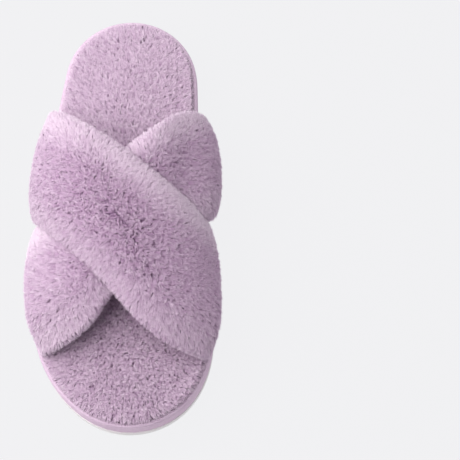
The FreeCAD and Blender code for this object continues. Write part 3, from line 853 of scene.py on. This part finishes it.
@dataclass
class Band:
    """One padded fur band.

    Angles run round the arch from the medial side (0) to the lateral (180), and shares across the band
    from its toe edge (0) to its heel edge (1).  Each bulge is how far the body swells near one end of
    the arch, at the toe edge and at the heel edge.  Cuts and trims draw an edge in at a corner, and
    fills let it out.  The combs pull the fibres across to the nearer edge, down over that edge and
    down the arch towards the sole.  Leans are degrees from the surface's normal.
    """

    name: BandName
    coat: Coat
    seed: int
    upper: "Band | None" = None
    angle_count: int = 73
    share_count: int = 15
    outer_shares: tuple[float, float] = (0.03, 0.97)
    covered_share: float = 0.36
    body_share: float = 0.62
    knit_height: float = 1.6
    lining_depth: float = 2.2
    edge_reach: float = 1.0
    squareness: float = 2.7
    corner_cut: float = 14.0
    corner_angle: float = 50.0
    lateral_bulge: tuple[float, float] = (0.0, 0.0)
    medial_bulge: tuple[float, float] = (0.0, 0.0)
    toe_trim: float = 0.0
    toe_fill: float = 0.0
    heel_fill: float = 0.0
    fibre_length: float = 7.6
    full_room: float = 13.4
    edge_comb: float = 1.1
    down_comb: float = 0.8
    sole_comb: float = 0.9
    loose_lean: float = 50.0
    combed_lean: float = 19.0
    # Painted light and shade of the pile: the middle's shade, and the painted light that the edges, most
    # the heel edge, and the flanks, most the lateral one, add to it.
    middle_shade: float = 0.27
    toe_painted_edge_light: float = 0.25
    heel_painted_edge_light: float = 0.55
    medial_painted_light: float = 0.04
    lateral_painted_light: float = 0.2
    axis_height: float = field(init=False)
    angles: np.ndarray = field(init=False)
    toe: np.ndarray = field(init=False)
    heel: np.ndarray = field(init=False)
    inner: np.ndarray = field(init=False)
    outer: np.ndarray = field(init=False)

    def node(self, layer: str) -> str:
        """Name of the CAD node of one of the band's layers."""
        return f"{self.name.value}_band_{layer}"

    def __post_init__(self) -> None:
        """Read where the band runs and how thick it is from its CAD layers."""
        low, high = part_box(self.node("lining"))
        self.axis_height = low.z / MM
        self.angles = np.linspace(1.2, 178.8, self.angle_count)
        lining = node_tree([self.node("lining")])
        layers = node_tree([self.node(layer) for layer in ("lining", "padding", "knit", "pile")])
        stations = np.arange(low.y / MM - 1, high.y / MM + 1, 1.5)
        self.toe = np.array([self.edge(lining, angle, stations) for angle in self.angles])
        self.heel = np.array([self.edge(lining, angle, stations[::-1]) for angle in self.angles])
        shares = np.linspace(*self.outer_shares, self.share_count)
        self.inner = np.empty((self.angle_count, self.share_count))
        self.outer = np.empty_like(self.inner)
        for row, angle in enumerate(self.angles):
            for column, share in enumerate(shares):
                station = self.toe[row] + (self.heel[row] - self.toe[row]) * share
                self.inner[row, column] = self.hit(lining, angle, station, True)
                self.outer[row, column] = self.hit(layers, angle, station, False)
        for _ in range(3):
            self.outer = self.smoothed(self.outer)

    def smoothed(self, grid: np.ndarray) -> np.ndarray:
        """Even out a grid.

        Args:
            grid: values, of which the border repeats outwards.

        Returns:
            Each value averaged with its four neighbours.
        """
        padded = np.pad(grid, 1, mode="edge")
        cross = padded[2:, 1:-1] + padded[:-2, 1:-1] + padded[1:-1, 2:] + padded[1:-1, :-2]
        return grid * 0.4 + cross * 0.15

    def hit(self, tree: BVHTree, angle: float, station: float, outward: bool) -> float:
        """Distance from the arch's axis to the first face met, or zero.

        Args:
            tree: faces to meet.
            angle: angle round the arch, in degrees.
            station: place along Y.
            outward: whether to look from the axis out, or from far outside in.

        Returns:
            The distance in millimetres.
        """
        turn = math.radians(angle)
        way = Vector((math.cos(turn), 0.0, math.sin(turn)))
        axis = Vector((0.0, station, self.axis_height))
        far = 200.0
        start = axis if outward else axis + way * far
        found = tree.ray_cast(start, way if outward else -way)
        if found[0] is None:
            return 0.0
        return (found[0] - axis).length

    def edge(self, lining: BVHTree, angle: float, stations: np.ndarray) -> float:
        """Find the first edge of the lining that a walk along Y meets.

        Args:
            lining: faces of the lining.
            angle: angle round the arch, in degrees.
            stations: places along Y, in the order of the walk.

        Returns:
            Station of the edge, narrowed down by halving.
        """
        outside = stations[0]
        for station in stations:
            if self.hit(lining, angle, station, True):
                inside = station
                break
            outside = station
        for _ in range(10):
            middle = (inside + outside) / 2
            if self.hit(lining, angle, middle, True):
                inside = middle
            else:
                outside = middle
        return inside

    def look_up(self, grid: np.ndarray, angle: np.ndarray, share: np.ndarray) -> np.ndarray:
        """Value of a grid between its points.

        Args:
            grid: one row for each angle, one column for each share.
            angle: angles in degrees.
            share: shares of the way from the toe edge to the heel edge.

        Returns:
            Interpolated values.
        """
        span = self.angles[-1] - self.angles[0]
        row = np.clip((angle - self.angles[0]) / span, 0, 1) * (self.angle_count - 1)
        first, last = self.outer_shares
        column = np.clip((share - first) / (last - first), 0, 1) * (self.share_count - 1)
        top = np.minimum(row.astype(int), self.angle_count - 2)
        left = np.minimum(column.astype(int), self.share_count - 2)
        down, right = row - top, column - left
        near = grid[top, left] * (1 - right) + grid[top, left + 1] * right
        far = grid[top + 1, left] * (1 - right) + grid[top + 1, left + 1] * right
        return near * (1 - down) + far * down

    def edges_at(self, angle: np.ndarray) -> tuple[np.ndarray, np.ndarray]:
        """Stations along Y of the toe edge and of the heel edge, at each of some angles."""
        return np.interp(angle, self.angles, self.toe), np.interp(angle, self.angles, self.heel)

    def point(self, angle: np.ndarray, station: np.ndarray, reach: np.ndarray) -> np.ndarray:
        """Points from angle, station and distance from the arch's axis."""
        turn = np.radians(angle)
        return np.column_stack([reach * np.cos(turn), station, self.axis_height + reach * np.sin(turn)])

    def section_place(self, low_of: Callable, high_of: Callable, overhang: float,
                      squareness: float) -> Place:
        """A place function for a closed skin between two surfaces of the band.

        Args:
            low_of: inner surface as a function of angle and share.
            high_of: outer surface as a function of angle and share.
            overhang: how far the skin stands past the band's edges.
            squareness: 2 for an elliptical section, more for a squarer one.

        Returns:
            Function of the way round the section and along the arch.
        """
        def place(round_: np.ndarray, along: np.ndarray) -> np.ndarray:
            """Place the skin's points.

            Args:
                round_: share of the way round the section.
                along: share of the way over the arch, from the medial end.

            Returns:
                Points in millimetres.
            """
            angle = self.angles[0] + (self.angles[-1] - self.angles[0]) * along
            turn = round_ * 2 * np.pi
            power = 2 / squareness
            across = np.sign(np.cos(turn)) * np.abs(np.cos(turn)) ** power
            upward = np.sign(np.sin(turn)) * np.abs(np.sin(turn)) ** power
            toe, heel = self.edges_at(angle)
            share = (across + 1) / 2
            heel_end = 180.0 - angle if self.name is BandName.UPPER else angle
            medial_end = ease((45.0 - angle) / 30.0)
            lateral_end = ease((angle - 135.0) / 30.0)
            heel_cut = self.corner_cut * np.maximum(1 - heel_end / self.corner_angle, 0.0) ** 1.5
            heel_cut = heel_cut - self.heel_fill * lateral_end
            toe_cut = self.toe_trim * ease((angle - 35.0) / 35.0) - self.toe_fill * medial_end
            cut = np.where(across > 0, heel_cut, toe_cut)
            station = (toe + heel) / 2 + across * ((heel - toe) / 2 + overhang - cut)
            low, high = low_of(angle, share), high_of(angle, share)
            reach = (low + high) / 2 + upward * (high - low) / 2
            return self.point(angle, station, reach)
        return place

    def make_body(self) -> bpy.types.Object:
        """Make the padded body under the pile, with rounded edges.

        Returns:
            The finished piece.
        """
        def low(angle: np.ndarray, share: np.ndarray) -> np.ndarray:
            """Inner surface of the body, on the lining."""
            return self.look_up(self.inner, angle, share) + 1.2

        def high(angle: np.ndarray, share: np.ndarray) -> np.ndarray:
            """Outer surface of the body, under the pile: its padding and the swell at its ends."""
            inner = self.look_up(self.inner, angle, share)
            medial = self.medial_bulge[0] * (1 - share) + self.medial_bulge[1] * share
            lateral = self.lateral_bulge[0] * (1 - share) + self.lateral_bulge[1] * share
            bulge = np.where(angle < 90, medial, lateral)
            swell = bulge * ease((50.0 - np.minimum(angle, 180.0 - angle)) / 35.0)
            room = self.look_up(self.outer, angle, share) - inner - self.knit_height
            return inner + self.knit_height + room * self.body_share + swell

        place = self.section_place(low, high, self.edge_reach, self.squareness)
        body = formed_grid(f"{self.name.value}_band_padded_body", 56, 120, place, capped=True)
        replaced = tuple(self.node(layer) for layer in ("padding", "knit", "pile"))
        return finish_piece(body, Finish.GROUND.material(), replaced)

    def make_lining(self) -> bpy.types.Object:
        """Make the lining, with the soft ripples of a thin cloth over foam.

        Returns:
            The finished piece.
        """
        def low(angle: np.ndarray, share: np.ndarray) -> np.ndarray:
            """Inner face."""
            ripple = 0.25 * np.sin(angle * 0.42 + 5 * share) * np.sin(share * 17 + angle * 0.13)
            return self.look_up(self.inner, angle, share) + ripple

        def high(angle: np.ndarray, share: np.ndarray) -> np.ndarray:
            """Outer face, inside the padded body."""
            return self.look_up(self.inner, angle, share) + self.lining_depth

        place = self.section_place(low, high, 0.4, 6.0)
        lining = formed_grid(f"{self.name.value}_band_soft_lining", 64, 120, place, capped=True)
        return finish_piece(lining, Finish.LINING.material(), (self.node("lining"),))

    def locate(self, points: np.ndarray) -> tuple[np.ndarray, np.ndarray, np.ndarray]:
        """Find where points lie on the band.

        Args:
            points: points in millimetres.

        Returns:
            Angle round the arch, share across the band and distance from the arch's axis.
        """
        lifted = points[:, 2] - self.axis_height
        angle = np.degrees(np.arctan2(lifted, points[:, 0]))
        angle = np.where(angle < -90, 180.0, np.maximum(angle, 0.0))
        toe, heel = self.edges_at(angle)
        return angle, (points[:, 1] - toe) / (heel - toe), np.hypot(points[:, 0], lifted)

    def wanted(self, points: np.ndarray) -> np.ndarray:
        """Choose where the band carries pile: not on its inner face, nor deep under the other band.

        Args:
            points: points in millimetres.

        Returns:
            1 where there is pile, and 0 elsewhere.
        """
        angle, share, reach = self.locate(points)
        inner = self.look_up(self.inner, angle, share)
        keep = (reach > inner + 2.6).astype(float)
        if self.upper is not None:
            over_angle, over_share, _ = self.upper.locate(points)
            keep *= np.abs(over_share - 0.5) > self.covered_share
        return keep

    def lay(self, points: np.ndarray, normals: np.ndarray) -> Lay:
        """How the band's fibres lie.

        Args:
            points: roots.
            normals: surface normals at the roots.

        Returns:
            Comb direction, order, length, lean and shade of each fibre.
        """
        angle, share, _ = self.locate(points)
        turn = np.radians(angle)
        zero = np.zeros_like(turn)
        outward = np.column_stack([np.cos(turn), zero, np.sin(turn)])
        onward = np.column_stack([-np.sin(turn), zero, np.cos(turn)])
        heelward = np.tile([0.0, 1.0, 0.0], (len(turn), 1))
        reach = self.look_up(self.outer, angle, share)
        slopes = np.gradient((self.toe + self.heel) / 2, np.radians(self.angles))
        slope = np.interp(angle, self.angles, slopes) / reach
        square = unit(heelward - onward * slope[:, None])
        from_middle = (share - 0.5) * 2
        edge = ease((np.abs(from_middle) - 0.3) / 0.6)
        flank = ease((np.abs(angle - 90.0) - 20.0) / 50.0)
        to_end = onward * np.where(angle < 90, -1.0, 1.0)[:, None]
        comb = square * (self.edge_comb * from_middle)[:, None]
        comb = comb - outward * (self.down_comb * edge)[:, None]
        comb = comb + to_end * (self.sole_comb * ease(np.abs(angle - 90.0) / 45.0))[:, None]
        comb = flatten_onto(comb, normals)
        drawn = ease(np.linalg.norm(comb, axis=1) / 0.8)
        room = reach - self.look_up(self.inner, angle, share)
        length = self.fibre_length * np.clip(room / self.full_room, 0.35, 1.0)
        order = np.maximum(edge, 0.8 * flank) * drawn
        lean = self.loose_lean + self.combed_lean * drawn
        comb = unit(flatten_onto(comb + square * 0.01, normals))
        # Painted light: lighter towards the edges, most at the heel edge, and on the lateral flank, so the
        # middle reads darker as painted shade.
        painted_edge_light = np.where(share > 0.5, self.heel_painted_edge_light, self.toe_painted_edge_light)
        painted_flank_light = np.where(angle > 90, self.lateral_painted_light, self.medial_painted_light)
        shade = self.middle_shade + painted_edge_light * edge + painted_flank_light * flank
        return Lay(comb, order, length * (1 - 0.1 * flank), lean, shade)

    def make_pile(self, body: bpy.types.Object) -> list[bpy.types.Object]:
        """Grow the band's pile in four pieces: each side of the arch, in a toe and a heel half.

        Args:
            body: the padded body, in which the fibres root.

        Returns:
            The finished pieces.
        """
        rng = np.random.default_rng(self.seed)
        roots, normals = self.coat.roots(body, rng, self.wanted)
        angle, share, _ = self.locate(roots)
        pieces = []
        for side, on_side in (("medial", angle < 90), ("lateral", angle >= 90)):
            for half, in_half in (("toe", share < 0.5), ("heel", share >= 0.5)):
                mine = on_side & in_half
                lay = self.lay(roots[mine], normals[mine])
                name = f"{self.name.value}_band_fur_{side}_{half}"
                fur = self.coat.grow(name, roots[mine], normals[mine], lay, rng)
                pieces.append(finish_piece(fur, Finish.FUR.material()))
        return pieces

    def build(self) -> None:
        """Make every piece of the band."""
        body = self.make_body()
        self.make_lining()
        self.make_pile(body)
        dress_node(self.node("stitches"), Finish.THREAD)
        for side in ("lateral", "medial"):
            dress_node(self.node(f"{side}_margin"), Finish.KNIT)


# ---------------------------------------------------------------- footbed

class Zone(Enum):
    """Lengthwise zones of the footbed, with the stations along Y where each ends."""

    TIP = (-200.0, -90.0)
    BALL = (-90.0, -45.0)
    WAIST = (-45.0, 40.0)
    HEEL = (40.0, 85.0)
    HEEL_BACK = (85.0, 200.0)


@dataclass
class Footbed:
    """Fur footbed: a thin padded base inside the binding, and its pile.

    The rim combs fibres out over the edge, the border is the strip beside the seam where they are
    short and upright, and under the bands the pile is thin, because nobody sees into it.
    """

    outline: SoleOutline
    bands: list[Band]
    coat: Coat
    seed: int
    edge_inset: float = 4.5
    base_height: float = 2.2
    rounding: float = 2.0
    sewn_height: float = 31.0
    covered_span: tuple[float, float] = (-50.0, 40.0)
    covered_density: float = 0.6
    fibre_length: float = 7.4
    rim_comb: float = 1.3
    rim_width: float = 14.0
    border_width: float = 8.0
    middle_lean: float = 54.0
    # Shade of the footbed's middle, before the painted light of the rim, heel and toe.
    middle_shade: float = 0.45

    def make_base(self) -> bpy.types.Object:
        """Make the plush base, rounded off towards the seam.

        Returns:
            The finished piece.
        """
        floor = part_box("footbed_backing")[1].z / MM

        def place(way: np.ndarray, inward: np.ndarray) -> np.ndarray:
            """Place the base's points.

            Args:
                way: share of the way round the sole.
                inward: share of the way from the middle of its underside, out and over to the top.

            Returns:
                Points in millimetres.
            """
            below = inward < 0.3
            out = np.where(below, inward / 0.3, (1 - inward) / 0.7)
            rim = self.outline.at(way, np.full_like(way, self.edge_inset))
            plan = rim * out[:, None]
            depth = np.linalg.norm(rim - plan, axis=1)
            climb = np.minimum(depth, self.rounding) / self.rounding
            crown = self.base_height * np.sqrt(np.clip(1 - (1 - climb) ** 2, 0, 1))
            return np.column_stack([plan, floor + np.where(below, 0.0, crown)])

        base = formed_grid("footbed_plush_base", 300, 90, place)
        return finish_piece(base, Finish.GROUND.material(), ("footbed_pile",))

    def wanted(self, points: np.ndarray) -> np.ndarray:
        """Choose where the footbed carries pile: on top and at the rim, and thinner under the bands.

        Args:
            points: points in millimetres.

        Returns:
            Share of the full density at each point.
        """
        keep = (points[:, 2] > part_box("footbed_backing")[1].z / MM + 0.4).astype(float)
        for band in self.bands:
            raised = np.column_stack([points[:, :2], np.full(len(points), self.sewn_height)])
            angle, share, reach = band.locate(raised)
            sewn = (share > 0.02) & (share < 0.98) & (reach > band.look_up(band.inner, angle, share) - 1.0)
            keep *= ~sewn
        start, end = self.covered_span
        covered = (points[:, 1] > start) & (points[:, 1] < end)
        return keep * np.where(covered, self.covered_density, 1.0)

    def lay(self, points: np.ndarray, normals: np.ndarray) -> Lay:
        """How the footbed's fibres lie: towards the toe in front, the heel behind, and out at the rim.

        Args:
            points: roots.
            normals: surface normals at the roots.

        Returns:
            Comb direction, order, length, lean and shade of each fibre.
        """
        depth, outward = self.outline.inside(points[:, :2])
        rim = ease((self.rim_width + 2.0 - depth) / self.rim_width)
        zero = np.zeros(len(points))
        outward = np.column_stack([outward, zero])
        heel = ease((points[:, 1] - 10.0) / 60.0)
        fan = np.column_stack([0.02 * points[:, 0], -0.6 + 1.2 * heel, zero])
        comb = unit(flatten_onto(fan + outward * (self.rim_comb * rim)[:, None], normals))
        toe = ease((-50.0 - points[:, 1]) / 50.0)
        order = np.clip(0.55 * heel + 0.6 * toe + 0.4 * rim, 0.0, 1.0)
        border = ease((self.border_width - depth) / (self.border_width / 2)) * (1 - 0.15 * toe)
        length = self.fibre_length * (1 - 0.5 * border) * (1 - 0.12 * heel)
        lean = (self.middle_lean + 6.0 * heel + 6.0 * rim) * (1 - 0.45 * border)
        # Painted light: lighter at the rim, at the heel and a little at the toe, so the middle under the
        # bands reads darker as painted shade.
        shade = self.middle_shade + 0.1 * heel + 0.03 * toe + 0.12 * rim
        return Lay(comb, order, length, lean, shade)

    def make_pile(self, base: bpy.types.Object) -> list[bpy.types.Object]:
        """Grow the footbed's pile, one piece for each zone.

        Args:
            base: the plush base, in which the fibres root.

        Returns:
            The finished pieces.
        """
        pieces = []
        for number, zone in enumerate(Zone):
            rng = np.random.default_rng(self.seed + number)
            low, high = zone.value

            def wanted(points: np.ndarray) -> np.ndarray:
                """The footbed's own pile, within the zone."""
                return self.wanted(points) * ((points[:, 1] > low) & (points[:, 1] <= high))

            roots, normals = self.coat.roots(base, rng, wanted)
            name = f"footbed_fur_{zone.name.lower()}"
            fur = self.coat.grow(name, roots, normals, self.lay(roots, normals), rng)
            pieces.append(finish_piece(fur, Finish.FUR.material()))
        return pieces

    def build(self) -> None:
        """Make every piece of the footbed."""
        self.make_pile(self.make_base())


# ---------------------------------------------------------------- studio

@dataclass
class Studio:
    """Pale sweep, soft light from the upper left, and the camera.

    The camera's target and distance are millimetres, and the key light's size and place are metres.
    """

    target: tuple[float, float, float] = (64.8, 0.0, 0.0)
    elevation: float = 74.0
    distance: float = 1200.0
    lens: float = 150.26
    shift_y: float = 0.00217
    paper: str = "f1f1f3"
    paper_glow: float = 0.97
    paper_shadow: float = 0.02
    sky_low: float = 0.3
    sky_high: float = 0.74
    key_power: float = 46.0
    key_size: float = 2.4
    key_place: tuple[float, float, float] = (-1.0, 0.2, 1.6)

    def camera(self) -> None:
        """Put the camera above the toe side, looking down along the slipper."""
        data = bpy.data.cameras.new("camera")
        data.lens = self.lens
        data.sensor_width = 36.0
        data.shift_y = self.shift_y
        camera = add_object("camera", data)
        tilt = math.radians(self.elevation)
        back = Vector((0.0, -math.cos(tilt), math.sin(tilt)))
        camera.location = (Vector(self.target) + back * self.distance) * MM
        camera.rotation_euler = (math.radians(90.0 - self.elevation), 0.0, 0.0)
        bpy.context.scene.camera = camera

    def floor(self) -> None:
        """Lay the paper that the slipper stands on: bright by itself, so shadows stay faint."""
        shape = bmesh.new()
        bmesh.ops.create_grid(shape, x_segments=4, y_segments=4, size=6.0)
        bmesh.ops.translate(shape, verts=shape.verts, vec=(0.0, 0.0, -0.0004))
        floor = mesh_object("paper_floor", shape)
        material, output, tree = blank_material("lit_paper")
        glow = add_node(tree, "ShaderNodeEmission",
                        inputs={"Color": srgb(self.paper), "Strength": self.paper_glow})
        matt = add_node(tree, "ShaderNodeBsdfDiffuse", inputs={"Color": (self.paper_shadow,) * 3 + (1.0,)})
        both = add_node(tree, "ShaderNodeAddShader", inputs={0: glow.outputs[0], 1: matt.outputs[0]})
        tree.links.new(both.outputs[0], output.inputs["Surface"])
        floor.data.materials.append(material)

    def lights(self) -> None:
        """Hang a broad key light at the upper left and fill with a pale sky, brightest overhead."""
        world = bpy.data.worlds.new("studio")
        bpy.context.scene.world = world
        world.use_nodes = True
        tree = world.node_tree
        sky = tree.nodes["Background"]
        sky.inputs["Color"].default_value = srgb(self.paper)
        way = add_node(tree, "ShaderNodeTexCoord")
        parts = add_node(tree, "ShaderNodeSeparateXYZ", inputs={"Vector": way.outputs["Generated"]})
        rise = add_node(tree, "ShaderNodeMapRange", inputs={
            "Value": parts.outputs["Z"], "To Min": self.sky_low, "To Max": self.sky_high})
        tree.links.new(rise.outputs["Result"], sky.inputs["Strength"])
        data = bpy.data.lights.new("key", "AREA")
        data.shape = "DISK"
        data.size = self.key_size
        data.energy = self.key_power
        data.color = (1.0, 0.985, 0.97)
        key = add_object("key", data)
        key.location = self.key_place
        key.rotation_euler = (-key.location).to_track_quat("-Z", "Y").to_euler()
        bpy.context.scene.view_settings.view_transform = "Standard"

    def build(self) -> None:
        """Set up the whole studio."""
        self.camera()
        self.floor()
        self.lights()


# ---------------------------------------------------------------- assembly


def main() -> None:
    """Build the studio and then the slipper from the floor up."""
    logging.basicConfig(level=logging.INFO, format="%(name)s %(message)s", stream=sys.stdout)
    Studio().build()
    outline = SoleOutline()
    sole = SoleUnit(outline)
    sole.wall()
    sole.binding()
    sole.dress_solids()
    coat = Coat()
    upper = Band(BandName.UPPER, coat, seed=11, medial_bulge=(1.6, 3.0), lateral_bulge=(0.0, -1.6))
    under = Band(BandName.UNDER, coat, seed=23, upper=upper, corner_cut=12.0,
                 medial_bulge=(5.0, 2.0), lateral_bulge=(-0.8, 3.2), toe_trim=2.5, toe_fill=3.5,
                 heel_fill=3.0)
    Footbed(outline, [upper, under], coat, seed=37).build()
    under.build()
    upper.build()


if __name__ == "__main__":
    main()
